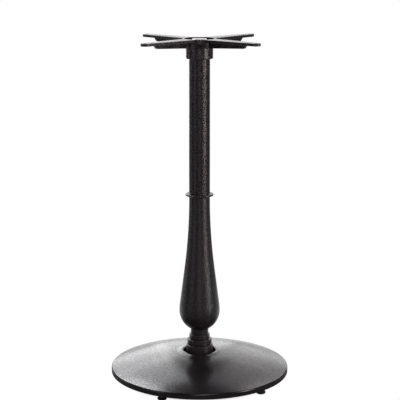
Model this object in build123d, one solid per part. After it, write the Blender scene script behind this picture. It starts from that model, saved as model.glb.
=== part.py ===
from build123d import *
import math
import os

# A pedestal table base at bar height, without its table top. A hollow round cast-iron base with a well in
# its crown carries a turned-looking cast column with a stepped foot. A plain steel tube stands on the
# column's ring, and a cast spider with four ribbed arms closes the tube and takes the table top. One
# threaded rod down the middle, with a cap nut in the spider's pocket and a nut under the base, pulls the
# whole stack together. Five levelling glides screw into bosses under the rim.
#
# Millimetres, Z up. The origin is on the floor under the column's axis. The spider's arms point to the
# four diagonals, so that its screw holes make a square along X and Y.

# Overall height, from the floor to the top of the spider's arms
height = 1050.0

# How far every cutting body runs past the face that it cuts
overrun = 1.0

# Two sizes closer than this count as the same when an edge or a corner is looked up
same = 0.01

# Base casting
base_radius = 275.0
rim_height = 16.0          # upright band of the rim
rim_wall = 10.0            # thickness of that band
rim_rounding = 4.5         # where the rim turns into the dome
rim_foot_rounding = 1.5    # lower outer edge of the rim
dome_radius = 788.0        # radius of the sphere that the dome's outside lies on
shell = 9.0                # thickness of the dome
lip_radius = 68.0          # foot of the low collar round the well
lip_rise = 3.0             # above the dome at that radius
lip_crest = 7.0            # width of its level top
lip_crest_rounding = 8.0
lip_blend = 30.0           # hollow rounding from the collar into the dome
lip_inner_rounding = 1.5
well_clearance = 9.1       # gap all round the column's foot
well_depth = 19.0
well_floor = 16.0          # thickness of the boss under the well
boss_radius = 60.0         # boss under the well
rib_count = 5              # one to each glide boss
rib_width = 7.0
rib_rise_at_rim = 6.0      # from the rim's underside up to the rib's lower edge
rib_root = 5.0             # how far a rib runs into the boss
lip_root = 4.5             # how far the lip runs into the shell
glide_boss_radius = 13.0

# Levelling glides
glide_count = 5
glide_inset = 19.0         # from the rim's outside to the circle that they stand on
glide_first_angle = -45.0  # under one of the spider's arms
pad_radius = 14.0
pad_height = 10.0
pad_rounding = 4.0
pad_band = 6.0             # from the floor to the shoulder
pad_shoulder_rounding = 1.0
pad_neck_radius = 9.5      # small end, under the collar
collar_across_flats = 17.0
collar_height = 5.0
stud_radius = 4.0
stud_length = 16.0         # in the boss, above the collar
stud_pin_radius = 5.0      # what holds the stud in its pad
stud_pin_length = 5.0
stud_clearance = 0.05      # all round, in the boss
glide_hole_spare = 1.5     # depth of the hole past the stud's end

# Lower column casting, measured from its foot upwards
foot_radius = 41.6
foot_tier_height = 38.0
middle_tier_radius = 37.8
middle_tier_height = 17.8
upper_tier_radius = 31.9
upper_tier_height = 15.7
neck_radius = 27.6
neck_height = 18.0
tier_top_rounding = 2.0
tier_foot_rounding = 1.5
groove_height = 2.2        # groove between two tiers
groove_depth = 2.0
bulb_radius = 62.7
bowl_radius = 66.0         # underside of the bulb
crown_radius = 140.0       # upper shoulder of the bulb
cone_angle = 7.46          # degrees from upright, above the bulb
shaft_radius = 31.6        # at the top, under the ring
ring_radius = 42.7
ring_thickness = 6.0
ring_rounding = 2.0
ring_cove = 4.0            # cove between ring and shaft
shaft_straight = 2.0       # under that cove, before the shaft starts to swell
column_height = 516.6      # from the foot to the ring's flat top
column_wall = 8.0
column_bore = 19.0         # radius of the core in the neck
core_neck_rounding = 10.0
core_bowl_drop = 22.0      # from the bulb's widest line down to the core's lower corner
core_bowl_rounding = 20.0
core_shaft_rounding = 200.0
foot_web = 13.0            # closed end of the column at its foot
spigot_height = 30.0       # inside the tube
spigot_rounding = 1.5

# Upper tube
tube_radius = 31.75
tube_wall = 2.5
spigot_clearance = 0.15

# Spider casting
hub_radius = 40.9
hub_height = 60.0          # from its lower end to the arms' top
hub_chamfer = 3.0
socket_depth = 36.0        # the tube's upper end in the hub
socket_clearance = 0.1
cup_radius = 51.5          # widened top of the hub, round the pocket
cup_flare_start = 27.0     # below the arms' top
cup_flare_end = 13.0
pocket_radius = 46.0
cup_rounding = 4.0
pocket_depth = 12.0
pocket_boss_radius = 25.0
pocket_boss_rise = 4.5
arm_top_thickness = 8.5
arm_inner_corner = 37.0    # from the axis to the corner between two arms
arm_corner_rounding = 10.0
arm_edge_rounding = 1.0
screw_spacing = 316.0      # square of the four screw holes
screw_hole_radius = 4.0
arm_tip_margin = 14.5      # iron round each screw hole
arm_rib_width = 9.0
arm_rib_depth_at_hub = 27.0
arm_rib_depth_at_end = 19.0
arm_rib_reach = 180.0      # lower corner of the rib
arm_rib_end_slope = 9.0    # how much further the rib reaches under the arm
arm_rib_end_rounding = 6.0

# Tie rod and its fasteners
rod_radius = 8.0
rod_hole_clearance = 1.0
rod_thread_clearance = 0.05
rod_below_nut = 5.0
cap_head_radius = 22.0
cap_head_height = 6.5
cap_head_rounding = 1.5
cap_sleeve_radius = 11.0
cap_sleeve_length = 14.0
cap_sleeve_clearance = 0.4
cap_socket_across_flats = 12.0
cap_socket_depth = 3.5
washer_radius = 24.0
washer_thickness = 4.0
washer_clearance = 0.5     # all round the rod
nut_across_flats = 24.0
nut_height = 13.0

# Heights that follow from the sizes above
rim_foot_z = pad_height + collar_height
dome_edge_z = rim_foot_z + rim_height
dome_centre_z = dome_edge_z - math.sqrt(dome_radius**2 - base_radius**2)
over_dome_z = dome_centre_z + dome_radius + overrun
lip_top_z = dome_centre_z + math.sqrt(dome_radius**2 - lip_radius**2) + lip_rise
well_floor_z = lip_top_z - well_depth
boss_foot_z = well_floor_z - well_floor
column_top_z = well_floor_z + column_height
hub_foot_z = height - hub_height
tube_top_z = hub_foot_z + socket_depth
pocket_floor_z = height - pocket_depth
pocket_boss_z = pocket_floor_z + pocket_boss_rise
washer_foot_z = boss_foot_z - washer_thickness
nut_foot_z = washer_foot_z - nut_height
well_radius = foot_radius + well_clearance
rod_hole_radius = rod_radius + rod_hole_clearance
tube_inner_radius = tube_radius - tube_wall
glide_circle = base_radius - glide_inset
glide_angles = [glide_first_angle - 360.0 / glide_count * i for i in range(glide_count)]
arm_angles = [45.0 + 90.0 * i for i in range(4)]


def profile(corners):
    """Closed outline in the XZ plane from (radius, height, rounding) corners."""
    edges = []
    entries = []
    exits = []
    count = len(corners)
    for i, (r, z, rounding) in enumerate(corners):
        corner = Vector(r, 0, z)
        if rounding == 0:
            entries.append(corner)
            exits.append(corner)
            continue
        before = Vector(corners[i - 1][0], 0, corners[i - 1][1]) - corner
        after = Vector(corners[(i + 1) % count][0], 0, corners[(i + 1) % count][1]) - corner
        half = math.radians(before.get_angle(after)) / 2
        before = before.normalized()
        after = after.normalized()
        entry = corner + before * (rounding / math.tan(half))
        leave = corner + after * (rounding / math.tan(half))
        inward = (before + after).normalized()
        middle = corner + inward * (rounding / math.sin(half) - rounding)
        edges.append(ThreePointArc(entry, middle, leave))
        entries.append(entry)
        exits.append(leave)
    for i in range(count):
        start = exits[i]
        end = entries[(i + 1) % count]
        if (end - start).length > same:
            edges.append(Line(start, end))
    return make_face(edges)


def turned(corners):
    """Solid turned about the column's axis from (radius, height, rounding) corners."""
    return revolve(profile(corners), Axis.Z)


def disc(radius, low, high):
    """Upright cylinder on the axis between two heights."""
    return Pos(0, 0, low) * Cylinder(radius, high - low, align=(Align.CENTER, Align.CENTER, Align.MIN))


def hexagon(across_flats, low, high):
    """Upright hexagonal prism on the axis between two heights."""
    outline = RegularPolygon(across_flats / 2, 6, major_radius=False)
    return extrude(Pos(0, 0, low) * outline, amount=high - low)


def upright_plate(points, width):
    """Plate of the given width standing on the X axis, from its outline in the XZ plane."""
    return extrude(Plane.XZ * Polygon(*points, align=None), amount=width / 2, both=True)


def level_edges(shape):
    """Edges that lie at one height, from the lowest to the highest."""
    return shape.edges().filter_by(lambda e: abs(e.bounding_box().size.Z) < same).sort_by(Axis.Z)


def save(shape, name):
    solids = shape.solids()
    result = solids[0] if len(solids) == 1 else Compound(children=list(solids))
    export_step(result, f"parts/{name}.step")


def base_casting():
    """Hollow dome with an upright rim, a well for the column's foot, ribs and glide bosses underneath."""
    crown = Pos(0, 0, dome_centre_z) * Sphere(dome_radius)
    dome = disc(base_radius, rim_foot_z, over_dome_z) & crown
    dome = fillet(level_edges(dome)[-1], rim_rounding)
    dome = fillet(level_edges(dome)[0], rim_foot_rounding)
    inner_crown = Pos(0, 0, dome_centre_z) * Sphere(dome_radius - shell)
    hollow = disc(base_radius - rim_wall, rim_foot_z - overrun, over_dome_z) & inner_crown
    body = dome - hollow
    body += disc(boss_radius, boss_foot_z, lip_top_z - lip_rise) & dome
    outer = base_radius - rim_wall / 2
    rib_outline = [
        (boss_radius - rib_root, boss_foot_z),
        (outer, rim_foot_z + rib_rise_at_rim),
        (outer, over_dome_z),
        (boss_radius - rib_root, over_dome_z),
    ]
    rib = upright_plate(rib_outline, rib_width) & dome
    for i in range(rib_count):
        body += Rot(0, 0, glide_first_angle + 360.0 / rib_count * i) * rib
    glide_boss = Pos(glide_circle, 0, 0) * disc(glide_boss_radius, rim_foot_z, over_dome_z) & dome
    glide_hole = Pos(glide_circle, 0, 0) * disc(
        stud_radius + stud_clearance, rim_foot_z - overrun, rim_foot_z + stud_length + glide_hole_spare
    )
    for angle in glide_angles:
        body += Rot(0, 0, angle) * glide_boss
    lip_foot_z = lip_top_z - lip_rise
    body += turned([
        (well_radius - lip_root, lip_foot_z - lip_root, 0),
        (lip_radius, lip_foot_z - lip_root, 0),
        (lip_radius, lip_foot_z, 0),
        (well_radius + lip_crest, lip_top_z, lip_crest_rounding),
        (well_radius - lip_root, lip_top_z, 0),
    ])
    circles = body.edges().filter_by(GeomType.CIRCLE)
    lip_edges = [e for e in circles if abs(e.radius - lip_radius) < same]
    body = fillet(lip_edges, lip_blend)
    body -= turned([
        (0, well_floor_z, 0),
        (well_radius, well_floor_z, 0),
        (well_radius, lip_top_z - lip_inner_rounding, 0),
        (well_radius + lip_inner_rounding, lip_top_z, 0),
        (well_radius + lip_inner_rounding, lip_top_z + overrun, 0),
        (0, lip_top_z + overrun, 0),
    ])
    body -= disc(rod_hole_radius, boss_foot_z - overrun, well_floor_z + overrun)
    for angle in glide_angles:
        body -= Rot(0, 0, angle) * glide_hole
    return body


def lower_column():
    """Cast column: three stepped tiers, a neck, a bulb drawn out to a slim shaft, a ring and a spigot."""
    foot = well_floor_z
    middle = foot + foot_tier_height
    upper = middle + middle_tier_height
    neck = upper + upper_tier_height
    neck_top = neck + neck_height
    bowl_turn = math.acos((neck_radius - bulb_radius + bowl_radius) / bowl_radius)
    bulb_z = neck_top + bowl_radius * math.sin(bowl_turn)
    slope = math.radians(cone_angle)
    bulb_corner = bulb_z + crown_radius * math.tan(slope / 2)
    cone_corner = bulb_corner + (bulb_radius - shaft_radius) / math.tan(slope)
    shaft_top = column_top_z - ring_thickness
    flare_top = shaft_top - ring_cove
    flare_radius = (flare_top - shaft_straight - cone_corner) / math.tan(slope / 2)
    spigot_radius = tube_inner_radius - spigot_clearance

    def tier(radius, low, high):
        return [
            (radius, low, tier_foot_rounding),
            (radius, high, tier_top_rounding),
        ]

    def groove(radius, low):
        return [
            (radius - tier_foot_rounding - groove_depth, low, 0),
            (radius - tier_foot_rounding - groove_depth, low + groove_height, 0),
        ]

    outside = [
        (0, foot, 0),
        *tier(foot_radius, foot, middle),
        *groove(middle_tier_radius, middle),
        *tier(middle_tier_radius, middle + groove_height, upper),
        *groove(upper_tier_radius, upper),
        *tier(upper_tier_radius, upper + groove_height, neck),
        (neck_radius - groove_depth, neck, 0),
        (neck_radius - groove_depth, neck + groove_height, 0),
        (neck_radius, neck + groove_height, 0),
        (neck_radius, neck_top, 0),
        (bulb_radius, bulb_z - bowl_radius * math.tan(bowl_turn / 2), bowl_radius),
        (bulb_radius, bulb_corner, crown_radius),
        (shaft_radius, cone_corner, flare_radius),
        (shaft_radius, shaft_top, ring_cove),
        (ring_radius, shaft_top, ring_rounding),
        (ring_radius, column_top_z, ring_rounding),
        (spigot_radius, column_top_z, 0),
        (spigot_radius, column_top_z + spigot_height, spigot_rounding),
        (0, column_top_z + spigot_height, 0),
    ]
    shaft_core = shaft_radius - column_wall
    bulb_core = bulb_radius - column_wall
    core = [
        (0, foot + foot_web, 0),
        (column_bore, foot + foot_web, 0),
        (column_bore, neck_top + column_wall, core_neck_rounding),
        (bulb_core, bulb_z - core_bowl_drop, core_bowl_rounding),
        (bulb_core, bulb_z + column_wall, core_bowl_rounding),
        (shaft_core, cone_corner - column_wall, core_shaft_rounding),
        (shaft_core, shaft_top - column_wall, 0),
        (column_bore, shaft_top, 0),
        (column_bore, column_top_z + spigot_height + overrun, 0),
        (0, column_top_z + spigot_height + overrun, 0),
    ]
    body = turned(outside) - turned(core)
    return body - disc(rod_hole_radius, foot - overrun, foot + foot_web + overrun)


def upper_tube():
    """Plain round tube from the column's ring up into the spider's hub."""
    inside = disc(tube_inner_radius, column_top_z - overrun, tube_top_z + overrun)
    return disc(tube_radius, column_top_z, tube_top_z) - inside


def arm_outline():
    """One tapering arm seen from above, along +X, rounded about its screw hole."""
    hole_x = screw_spacing / math.sqrt(2)
    root = arm_inner_corner / math.sqrt(2)
    reach = math.hypot(hole_x - root, root)
    taper = math.atan2(root, hole_x - root) - math.asin(arm_tip_margin / reach)
    side_x = hole_x + arm_tip_margin * math.sin(taper)
    side_y = arm_tip_margin * math.cos(taper)
    arm = Polygon((0, 0), (root, -root), (side_x, -side_y), (side_x, side_y), (root, root), align=None)
    return arm + Pos(hole_x, 0) * Circle(arm_tip_margin)


def spider():
    """Four ribbed arms on a hub that takes the tube, with a round pocket for the cap nut in its top."""
    star = Sketch() + [Rot(0, 0, angle) * arm_outline() for angle in arm_angles]
    corners = [v for v in star.vertices() if abs(math.hypot(v.X, v.Y) - arm_inner_corner) < same]
    star = fillet(corners, arm_corner_rounding)
    plate = extrude(Pos(0, 0, height - arm_top_thickness) * star, amount=arm_top_thickness)
    plate = fillet(level_edges(plate), arm_edge_rounding)
    hub = turned([
        (0, hub_foot_z, 0),
        (hub_radius, hub_foot_z, hub_chamfer),
        (hub_radius, height - cup_flare_start, 0),
        (cup_radius, height - cup_flare_end, 0),
        (cup_radius, height, cup_rounding),
        (0, height, 0),
    ])
    rib_start = (hub_radius + tube_radius) / 2
    under = height - arm_top_thickness / 2
    rib = extrude(profile([
        (rib_start, under, 0),
        (arm_rib_reach + arm_rib_end_slope, under, 0),
        (arm_rib_reach + arm_rib_end_slope, height - arm_top_thickness, 0),
        (arm_rib_reach, height - arm_rib_depth_at_end, arm_rib_end_rounding),
        (hub_radius, height - arm_rib_depth_at_hub, 0),
        (rib_start, height - arm_rib_depth_at_hub, 0),
    ]), amount=arm_rib_width / 2, both=True)
    body = plate + hub
    for angle in arm_angles:
        body += Rot(0, 0, angle) * rib
    over = height + overrun
    body -= disc(tube_radius + socket_clearance, hub_foot_z - overrun, tube_top_z)
    body -= disc(pocket_radius, pocket_boss_z, over)
    body -= disc(pocket_radius, pocket_floor_z, over) - disc(pocket_boss_radius, pocket_floor_z, over)
    body -= disc(cap_sleeve_radius + cap_sleeve_clearance, tube_top_z - overrun, over)
    half = screw_spacing / 2
    for x in (-half, half):
        for y in (-half, half):
            body -= Pos(x, y, 0) * disc(screw_hole_radius, height - arm_top_thickness - overrun, over)
    return body


def tie_rod():
    return disc(rod_radius, nut_foot_z - rod_below_nut, pocket_boss_z)


def rod_cap_nut():
    """Low round head with a hexagonal socket, and a threaded sleeve down into the hub."""
    top = pocket_boss_z + cap_head_height
    body = turned([
        (0, pocket_boss_z, 0),
        (cap_head_radius, pocket_boss_z, 0),
        (cap_head_radius, top, cap_head_rounding),
        (0, top, 0),
    ])
    sleeve_foot_z = pocket_boss_z - cap_sleeve_length
    body += disc(cap_sleeve_radius, sleeve_foot_z, pocket_boss_z)
    body -= disc(rod_radius + rod_thread_clearance, sleeve_foot_z - overrun, pocket_boss_z)
    return body - hexagon(cap_socket_across_flats, top - cap_socket_depth, top + overrun)


def base_washer():
    hole = disc(rod_radius + washer_clearance, washer_foot_z - overrun, boss_foot_z + overrun)
    return disc(washer_radius, washer_foot_z, boss_foot_z) - hole


def base_nut():
    body = hexagon(nut_across_flats, nut_foot_z, washer_foot_z)
    return body - disc(rod_radius + rod_thread_clearance, nut_foot_z - overrun, washer_foot_z + overrun)


def glide_stud():
    """Threaded stud with a hexagonal collar and a pin that its pad is pressed on."""
    body = hexagon(collar_across_flats, pad_height, rim_foot_z)
    body += disc(stud_radius, rim_foot_z, rim_foot_z + stud_length)
    return body + disc(stud_pin_radius, pad_height - stud_pin_length, pad_height)


def glide_pad():
    """Round moulded pad, drawn in towards the collar."""
    body = turned([
        (0, 0, 0),
        (pad_radius, 0, pad_rounding),
        (pad_radius, pad_band, pad_shoulder_rounding),
        (pad_neck_radius, pad_height, 0),
        (0, pad_height, 0),
    ])
    return body - disc(stud_pin_radius, pad_height - stud_pin_length, pad_height + overrun)


os.makedirs("parts", exist_ok=True)
save(base_casting(), "base_casting")
save(lower_column(), "lower_column")
save(upper_tube(), "upper_tube")
save(spider(), "spider")
save(tie_rod(), "tie_rod")
save(rod_cap_nut(), "rod_cap_nut")
save(base_washer(), "base_washer")
save(base_nut(), "base_nut")
for number, angle in enumerate(glide_angles, start=1):
    place = Rot(0, 0, angle) * Pos(glide_circle, 0, 0)
    save(place * glide_stud(), f"glide_stud_{number}")
    save(place * glide_pad(), f"glide_pad_{number}")
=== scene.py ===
import math

import bpy
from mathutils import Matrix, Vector

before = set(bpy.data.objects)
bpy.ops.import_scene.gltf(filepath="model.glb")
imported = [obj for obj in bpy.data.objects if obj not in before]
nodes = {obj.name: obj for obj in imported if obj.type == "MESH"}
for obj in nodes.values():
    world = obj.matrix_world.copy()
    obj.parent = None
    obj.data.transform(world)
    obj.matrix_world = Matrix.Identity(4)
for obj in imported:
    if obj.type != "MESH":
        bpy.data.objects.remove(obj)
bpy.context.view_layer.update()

# The photograph's viewpoint: a long lens 4 m away and 1.4 m up, looking 12 degrees down and a touch
# from the left, so that the front-right arm turns towards it by a little over a degree.
camera_distance = 4.013
camera_height = 1.407
camera_turn = math.radians(1.23)
camera_pitch = math.radians(11.95)
camera_lens_mm = 120.8
camera_sensor_mm = 36.0
axis_offset = 0.0014

camera = bpy.data.objects.new("camera", bpy.data.cameras.new("camera"))
bpy.context.collection.objects.link(camera)
camera.data.lens = camera_lens_mm
camera.data.sensor_width = camera_sensor_mm
camera.rotation_euler = (math.pi / 2 - camera_pitch, 0.0, -camera_turn)
sideways = Vector((math.cos(camera_turn), -math.sin(camera_turn), 0.0))
backwards = Vector((-math.sin(camera_turn), -math.cos(camera_turn), 0.0))
upwards = Vector((0.0, 0.0, 1.0))
camera.location = backwards * camera_distance + sideways * axis_offset + upwards * camera_height
bpy.context.scene.camera = camera
bpy.context.scene.view_settings.view_transform = "Standard"


# The coat on the castings and the tube is black powder, sprayed on and baked, which dries to a skin of
# fine grains. The grain is one node group, placed in each piece's finish with its own size of grain.
def combine(tree, operation, first, second):
    """One value made of two, such as their difference or the greater of them."""
    step = tree.nodes.new("ShaderNodeMath")
    step.operation = operation
    tree.links.new(first, step.inputs[0])
    tree.links.new(second, step.inputs[1])
    return step.outputs["Value"]


flow_per_grain = 1.3
flow_share_of_gloss = 1.4
clouds_per_metre = 14.0

grain_group = bpy.data.node_groups.new("powder_grain", "ShaderNodeTree")
for socket in ("Grain per metre", "Smooth", "Rough", "Specks"):
    grain_group.interface.new_socket(socket, in_out="INPUT", socket_type="NodeSocketFloat")
for socket in ("Height", "Roughness", "Shade", "Skin"):
    grain_group.interface.new_socket(socket, in_out="OUTPUT", socket_type="NodeSocketFloat")
link = grain_group.links.new
group_in = grain_group.nodes.new("NodeGroupInput")
group_out = grain_group.nodes.new("NodeGroupOutput")
place = grain_group.nodes.new("ShaderNodeTexCoord")

grains = grain_group.nodes.new("ShaderNodeTexVoronoi")
grains.feature = "SMOOTH_F1"
grains.inputs["Smoothness"].default_value = 0.6
link(place.outputs["Object"], grains.inputs["Vector"])
link(group_in.outputs["Grain per metre"], grains.inputs["Scale"])
finer = grain_group.nodes.new("ShaderNodeMath")
finer.operation = "MULTIPLY"
finer.inputs[1].default_value = flow_per_grain
link(group_in.outputs["Grain per metre"], finer.inputs[0])
flow = grain_group.nodes.new("ShaderNodeTexNoise")
flow.inputs["Detail"].default_value = 2.0
link(place.outputs["Object"], flow.inputs["Vector"])
link(finer.outputs["Value"], flow.inputs["Scale"])
heap = combine(grain_group, "SUBTRACT", flow.outputs["Fac"], grains.outputs["Distance"])
link(heap, group_out.inputs["Height"])

clouds = grain_group.nodes.new("ShaderNodeTexNoise")
clouds.inputs["Scale"].default_value = clouds_per_metre
clouds.inputs["Detail"].default_value = 4.0
link(place.outputs["Object"], clouds.inputs["Vector"])
flow_on_clouds = grain_group.nodes.new("ShaderNodeMath")
flow_on_clouds.operation = "MULTIPLY_ADD"
link(flow.outputs["Fac"], flow_on_clouds.inputs[0])
flow_on_clouds.inputs[1].default_value = flow_share_of_gloss
link(clouds.outputs["Fac"], flow_on_clouds.inputs[2])
rough_map = grain_group.nodes.new("ShaderNodeMapRange")
rough_map.inputs["From Min"].default_value = 0.8
rough_map.inputs["From Max"].default_value = 1.6
link(flow_on_clouds.outputs["Value"], rough_map.inputs["Value"])
link(group_in.outputs["Smooth"], rough_map.inputs["To Min"])
link(group_in.outputs["Rough"], rough_map.inputs["To Max"])
link(rough_map.outputs["Result"], group_out.inputs["Roughness"])

shade_map = grain_group.nodes.new("ShaderNodeMapRange")
shade_map.inputs["From Min"].default_value = -0.35
shade_map.inputs["From Max"].default_value = 0.45
link(heap, shade_map.inputs["Value"])
link(shade_map.outputs["Result"], group_out.inputs["Shade"])

skin_noise = grain_group.nodes.new("ShaderNodeTexNoise")
skin_noise.inputs["Detail"].default_value = 1.0
link(place.outputs["Object"], skin_noise.inputs["Vector"])
link(group_in.outputs["Grain per metre"], skin_noise.inputs["Scale"])
skin_map = grain_group.nodes.new("ShaderNodeMapRange")
skin_map.inputs["From Min"].default_value = 0.35
skin_map.inputs["From Max"].default_value = 0.65
link(skin_noise.outputs["Fac"], skin_map.inputs["Value"])
link(group_in.outputs["Specks"], skin_map.inputs["To Max"])
link(skin_map.outputs["Result"], group_out.inputs["Skin"])


def shade_between(tree, share, dark, light):
    """Gives the material a base colour between two shades, by a share that changes over the surface."""
    shades = tree.nodes.new("ShaderNodeMix")
    shades.data_type = "RGBA"
    shades.inputs["A"].default_value = (*dark, 1.0)
    shades.inputs["B"].default_value = (*light, 1.0)
    tree.links.new(share, shades.inputs["Factor"])
    tree.links.new(shades.outputs["Result"], tree.nodes["Principled BSDF"].inputs["Base Color"])


def coat(name, dark, light, grain_per_metre, smooth, rough, relief, gloss_ior, specks=0.0):
    """Powder coat over iron or steel, with its range of roughness and its relief in metres."""
    finish = bpy.data.materials.new(name)
    finish.use_nodes = True
    tree = finish.node_tree
    shader = tree.nodes["Principled BSDF"]
    grain = tree.nodes.new("ShaderNodeGroup")
    grain.node_tree = grain_group
    grain.inputs["Grain per metre"].default_value = grain_per_metre
    grain.inputs["Smooth"].default_value = smooth
    grain.inputs["Rough"].default_value = rough
    grain.inputs["Specks"].default_value = specks
    shade_between(tree, grain.outputs["Shade"], dark, light)
    tree.links.new(grain.outputs["Roughness"], shader.inputs["Roughness"])
    if specks > 0.0:
        tree.links.new(grain.outputs["Skin"], shader.inputs["Coat Weight"])
        shader.inputs["Coat Roughness"].default_value = smooth
    bump = tree.nodes.new("ShaderNodeBump")
    bump.inputs["Strength"].default_value = 1.0
    bump.inputs["Distance"].default_value = relief
    tree.links.new(grain.outputs["Height"], bump.inputs["Height"])
    tree.links.new(bump.outputs["Normal"], shader.inputs["Normal"])
    shader.inputs["IOR"].default_value = gloss_ior
    return finish


def paint(node, finish):
    """Gives a CAD node its finish."""
    for slot in nodes[node].material_slots:
        slot.material = finish


# The foot is one hollow casting of grey iron, open underneath, with a lip round the well in its crown.
# It is dressed and powder coated, and its shallow dome mirrors what stands behind it.
dome_coat = coat(
    "dome_coat",
    dark=(0.006, 0.005, 0.006),
    light=(0.013, 0.011, 0.012),
    grain_per_metre=220.0,
    smooth=0.17,
    rough=0.24,
    relief=0.00015,
    gloss_ior=1.46,
    specks=0.45,
)
paint("base_casting", dome_coat)

# The lower column is an iron casting too, dressed on a lathe at its tiers and its ring. It stands in
# the well of the foot, and its coat has a deeper and duller grain than the foot's.
column_coat = coat(
    "column_coat",
    dark=(0.018, 0.015, 0.017),
    light=(0.031, 0.026, 0.029),
    grain_per_metre=300.0,
    smooth=0.20,
    rough=0.36,
    relief=0.00050,
    gloss_ior=1.5,
)
paint("lower_column", column_coat)

# The upper column is a plain welded steel tube, set on the ring over the lower column's spigot. Its
# coat has the deepest grain, which breaks the tall highlight up into sparks.
tube_coat = coat(
    "tube_coat",
    dark=(0.011, 0.009, 0.010),
    light=(0.020, 0.016, 0.018),
    grain_per_metre=290.0,
    smooth=0.12,
    rough=0.32,
    relief=0.00062,
    gloss_ior=1.5,
)
paint("upper_tube", tube_coat)

# The spider is one iron casting of four arms on a hub, with a rib under each arm. It is ground flat on
# top for the table top, coated black, and slips over the tube's end.
spider_coat = coat(
    "spider_coat",
    dark=(0.014, 0.011, 0.012),
    light=(0.026, 0.021, 0.024),
    grain_per_metre=290.0,
    smooth=0.18,
    rough=0.30,
    relief=0.00050,
    gloss_ior=1.54,
)
paint("spider", spider_coat)


# The tie rod, its cap nut, washer and nut and the glides' studs are rolled or turned steel, plated with
# zinc. The cap nut's head shows in the spider's pocket; the rest is inside or underneath.
def mottle(tree, per_metre, detail):
    """A noise that is fixed to the piece, as a share from 0 to 1."""
    place = tree.nodes.new("ShaderNodeTexCoord")
    noise = tree.nodes.new("ShaderNodeTexNoise")
    noise.inputs["Scale"].default_value = per_metre
    noise.inputs["Detail"].default_value = detail
    tree.links.new(place.outputs["Object"], noise.inputs["Vector"])
    return noise.outputs["Fac"]


glide_count = 5

zinc = bpy.data.materials.new("zinc_plate")
zinc.use_nodes = True
tree = zinc.node_tree
shader = tree.nodes["Principled BSDF"]
shader.inputs["Metallic"].default_value = 1.0
spangle = mottle(tree, per_metre=260.0, detail=5.0)
shade_between(tree, spangle, dark=(0.52, 0.51, 0.50), light=(0.70, 0.69, 0.67))
dulling = tree.nodes.new("ShaderNodeMapRange")
dulling.inputs["To Min"].default_value = 0.22
dulling.inputs["To Max"].default_value = 0.42
tree.links.new(spangle, dulling.inputs["Value"])
tree.links.new(dulling.outputs["Result"], shader.inputs["Roughness"])
for name in ("tie_rod", "rod_cap_nut", "base_washer", "base_nut"):
    paint(name, zinc)
for number in range(1, glide_count + 1):
    paint(f"glide_stud_{number}", zinc)

# The glides' pads are moulded in black plastic and pressed on the studs' pins. They stand on the floor
# and are scuffed by it.
pad_plastic = bpy.data.materials.new("pad_plastic")
pad_plastic.use_nodes = True
tree = pad_plastic.node_tree
scuff = mottle(tree, per_metre=600.0, detail=3.0)
shade_between(tree, scuff, dark=(0.010, 0.010, 0.010), light=(0.022, 0.022, 0.022))
tree.nodes["Principled BSDF"].inputs["Roughness"].default_value = 0.6
for number in range(1, glide_count + 1):
    paint(f"glide_pad_{number}", pad_plastic)


# The studio floor is pale. It keeps the grey shadow under the foot and runs out into plain white for
# the camera. In the coat's reflections it is painted darker than it is, with a painted glow of white
# behind the base, as if a lit backdrop came down to it. From below the floor is clear, so that the
# underside of the foot shows.
def soft_step(tree, value, start, end, before=0.0, beyond=1.0):
    """A value that goes softly over from one level, up to the start, to another, from the end on."""
    step = tree.nodes.new("ShaderNodeMapRange")
    step.interpolation_type = "SMOOTHSTEP"
    step.inputs["From Min"].default_value = start
    step.inputs["From Max"].default_value = end
    step.inputs["To Min"].default_value = before
    step.inputs["To Max"].default_value = beyond
    tree.links.new(value, step.inputs["Value"])
    return step.outputs["Result"]


floor_half = 12.0
shadow_reach = 0.17
white_from = 0.265
patch_fades_from = 0.8
patch_ends = 1.7
patch_starts_behind = 0.05
patch_full_behind = 0.45

floor_mesh = bpy.data.meshes.new("floor")
floor_mesh.from_pydata(
    [
        (-floor_half, -floor_half, 0),
        (floor_half, -floor_half, 0),
        (floor_half, floor_half, 0),
        (-floor_half, floor_half, 0),
    ],
    [],
    [(0, 1, 2, 3)],
)
floor = bpy.data.objects.new("floor", floor_mesh)
bpy.context.collection.objects.link(floor)

floor_white = bpy.data.materials.new("floor_white")
floor_white.use_nodes = True
tree = floor_white.node_tree
shader = tree.nodes["Principled BSDF"]
shader.inputs["Roughness"].default_value = 0.9
shader.inputs["Specular IOR Level"].default_value = 0.0
ray = tree.nodes.new("ShaderNodeLightPath")
# Painted shade: the floor's colour is 0.8 for the camera but only 0.2 for all other rays, so the coat
# mirrors a darker floor.
shade_between(tree, ray.outputs["Is Camera Ray"], dark=(0.2, 0.2, 0.2), light=(0.8, 0.8, 0.8))
glow = tree.nodes.new("ShaderNodeEmission")
glow.inputs["Strength"].default_value = 1.0

place = tree.nodes.new("ShaderNodeTexCoord")
from_middle = tree.nodes.new("ShaderNodeVectorMath")
from_middle.operation = "LENGTH"
tree.links.new(place.outputs["Object"], from_middle.inputs[0])
parts = tree.nodes.new("ShaderNodeSeparateXYZ")
tree.links.new(place.outputs["Object"], parts.inputs["Vector"])
beyond_shadow = soft_step(tree, from_middle.outputs["Value"], shadow_reach, white_from)
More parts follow.
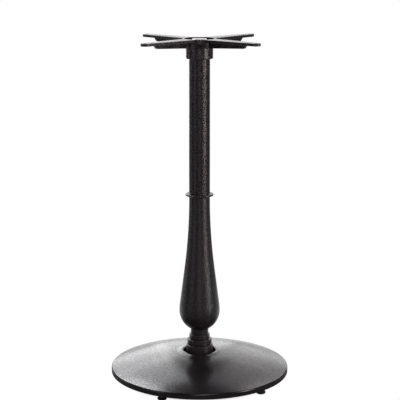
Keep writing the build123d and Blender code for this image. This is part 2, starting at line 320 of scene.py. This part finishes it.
# Painted light: for mirror rays the floor glows white in a patch behind the base, a painted reflection
# that the coat shows.
near = soft_step(tree, from_middle.outputs["Value"], patch_fades_from, patch_ends, 1.0, 0.0)
behind = soft_step(tree, parts.outputs["Y"], patch_starts_behind, patch_full_behind)
mirrored = combine(tree, "MAXIMUM", ray.outputs["Is Glossy Ray"], ray.outputs["Is Transmission Ray"])
painted_glow_patch = combine(tree, "MULTIPLY", near, behind)
mirrored_patch = combine(tree, "MULTIPLY", painted_glow_patch, mirrored)
white_share = tree.nodes.new("ShaderNodeMix")
white_share.data_type = "FLOAT"
tree.links.new(ray.outputs["Is Camera Ray"], white_share.inputs["Factor"])
tree.links.new(mirrored_patch, white_share.inputs["A"])
tree.links.new(beyond_shadow, white_share.inputs["B"])
blend = tree.nodes.new("ShaderNodeMixShader")
tree.links.new(white_share.outputs["Result"], blend.inputs["Fac"])
tree.links.new(shader.outputs["BSDF"], blend.inputs[1])
tree.links.new(glow.outputs["Emission"], blend.inputs[2])

side_seen = tree.nodes.new("ShaderNodeNewGeometry")
clear = tree.nodes.new("ShaderNodeBsdfTransparent")
one_sided = tree.nodes.new("ShaderNodeMixShader")
tree.links.new(side_seen.outputs["Backfacing"], one_sided.inputs["Fac"])
tree.links.new(blend.outputs["Shader"], one_sided.inputs[1])
tree.links.new(clear.outputs["BSDF"], one_sided.inputs[2])
tree.links.new(one_sided.outputs["Shader"], tree.nodes["Material Output"].inputs["Surface"])
floor_mesh.materials.append(floor_white)

# The backdrop behind the table base is plain white for the camera. The coat mirrors it straight behind,
# and it dies away to the dark of the room at the sides and on the camera's side.
room_dark = 0.03
backdrop_white = 1.0
backdrop_edge = 0.8
backdrop_full = 0.97

world = bpy.data.worlds.new("studio")
bpy.context.scene.world = world
world.use_nodes = True
tree = world.node_tree
background = tree.nodes["Background"]
ray = tree.nodes.new("ShaderNodeLightPath")
place = tree.nodes.new("ShaderNodeTexCoord")
parts = tree.nodes.new("ShaderNodeSeparateXYZ")
tree.links.new(place.outputs["Generated"], parts.inputs["Vector"])
behind = soft_step(tree, parts.outputs["Y"], backdrop_edge, backdrop_full)
mirrored = combine(tree, "MAXIMUM", ray.outputs["Is Glossy Ray"], ray.outputs["Is Transmission Ray"])
mirrored_patch = combine(tree, "MULTIPLY", behind, mirrored)
seen = combine(tree, "MAXIMUM", ray.outputs["Is Camera Ray"], mirrored_patch)
strength = tree.nodes.new("ShaderNodeMapRange")
strength.inputs["To Min"].default_value = room_dark
strength.inputs["To Max"].default_value = backdrop_white
tree.links.new(seen, strength.inputs["Value"])
tree.links.new(strength.outputs["Result"], background.inputs["Strength"])
background.inputs["Color"].default_value = (1.0, 1.0, 1.0, 1.0)

# The lamps are softboxes on a ring round the base. Those on stands show in the black coat as tall
# streaks: a strong warm one at the right, weaker ones in front and at the left, and dim ones that draw
# the edges.
ring_radius = 2.6
aim_height = 0.5
standing_height = 0.81
standing_tall = 1.58


def softbox(name, turn_degrees, width, tall, height, watts, colour, distance=ring_radius):
    """One softbox aimed at the column; its turn is counted from the camera's side towards the right."""
    lamp = bpy.data.lights.new(name, "AREA")
    lamp.shape = "RECTANGLE"
    lamp.size = width
    lamp.size_y = tall
    lamp.energy = watts
    lamp.color = colour
    holder = bpy.data.objects.new(name, lamp)
    bpy.context.collection.objects.link(holder)
    turn = math.radians(turn_degrees)
    holder.location = (math.sin(turn) * distance, -math.cos(turn) * distance, height)
    aim = Vector((0.0, 0.0, aim_height)) - holder.location
    holder.rotation_euler = aim.to_track_quat("-Z", "Y").to_euler()
    holder.visible_camera = False


def standing_softbox(name, turn_degrees, width, watts, colour):
    """A tall softbox on its stand, from near the floor to over the spider."""
    softbox(name, turn_degrees, width, standing_tall, standing_height, watts, colour)


standing_softbox("key_right", 58, width=0.70, watts=25, colour=(1.0, 0.885, 0.88))
standing_softbox("front", 0, width=0.6, watts=4.8, colour=(1.0, 0.885, 0.98))
standing_softbox("fill_left", -55, width=0.9, watts=4.8, colour=(1.0, 0.89, 1.0))
standing_softbox("rim_left", -110, width=0.6, watts=3.2, colour=(1.0, 0.93, 1.0))
standing_softbox("rim_right", 110, width=0.6, watts=1.3, colour=(1.0, 0.93, 0.97))

# Broad softboxes stand behind the base on both sides, and the dome mirrors them. The high ones reach
# above the spider, and the left side is two to three times as bright as the right.
cool_white = (0.98, 0.98, 1.0)
warm_white = (1.0, 0.96, 0.99)
softbox("back_left_low", -163, width=1.0, tall=1.1, height=0.85, watts=5.9, colour=cool_white)
softbox("back_left_high", -162, width=1.0, tall=1.7, height=2.25, watts=14, colour=cool_white)
softbox("wall_left", -144, width=0.8, tall=2.4, height=2.30, watts=54, colour=cool_white)
softbox("back_right_low", 160, width=1.0, tall=1.1, height=0.85, watts=2.1, colour=warm_white)
softbox("back_right_high", 159, width=1.0, tall=1.9, height=2.35, watts=6.1, colour=warm_white)
softbox("wall_right", 140, width=0.8, tall=2.2, height=2.20, watts=17, colour=warm_white)

# Three square softboxes hang from booms, nearer in. They light the top of the spider, the ring and the
# shoulder of the bulb.
boom_radius = 1.9
boom_box_side = 0.8


def hanging_softbox(name, turn_degrees, height, watts, colour):
    """A small square softbox on a boom."""
    softbox(name, turn_degrees, boom_box_side, boom_box_side, height, watts, colour, boom_radius)


hanging_softbox("high_left", -115, height=2.60, watts=10, colour=(1.0, 0.97, 1.0))
hanging_softbox("high_right", 110, height=2.60, watts=8, colour=(1.0, 0.95, 0.98))
hanging_softbox("high_front", 10, height=2.70, watts=14, colour=(1.0, 0.93, 0.98))

# Two weak softboxes stand straight behind the base, in line with the column. They add a little to what
# the front of the dome mirrors.
plain_white = (1.0, 1.0, 1.0)
softbox("back_low", 180, width=0.68, tall=0.86, height=0.45, watts=1.7, colour=plain_white)
softbox("back_high", 180, width=0.9, tall=0.6, height=1.35, watts=1.1, colour=plain_white)
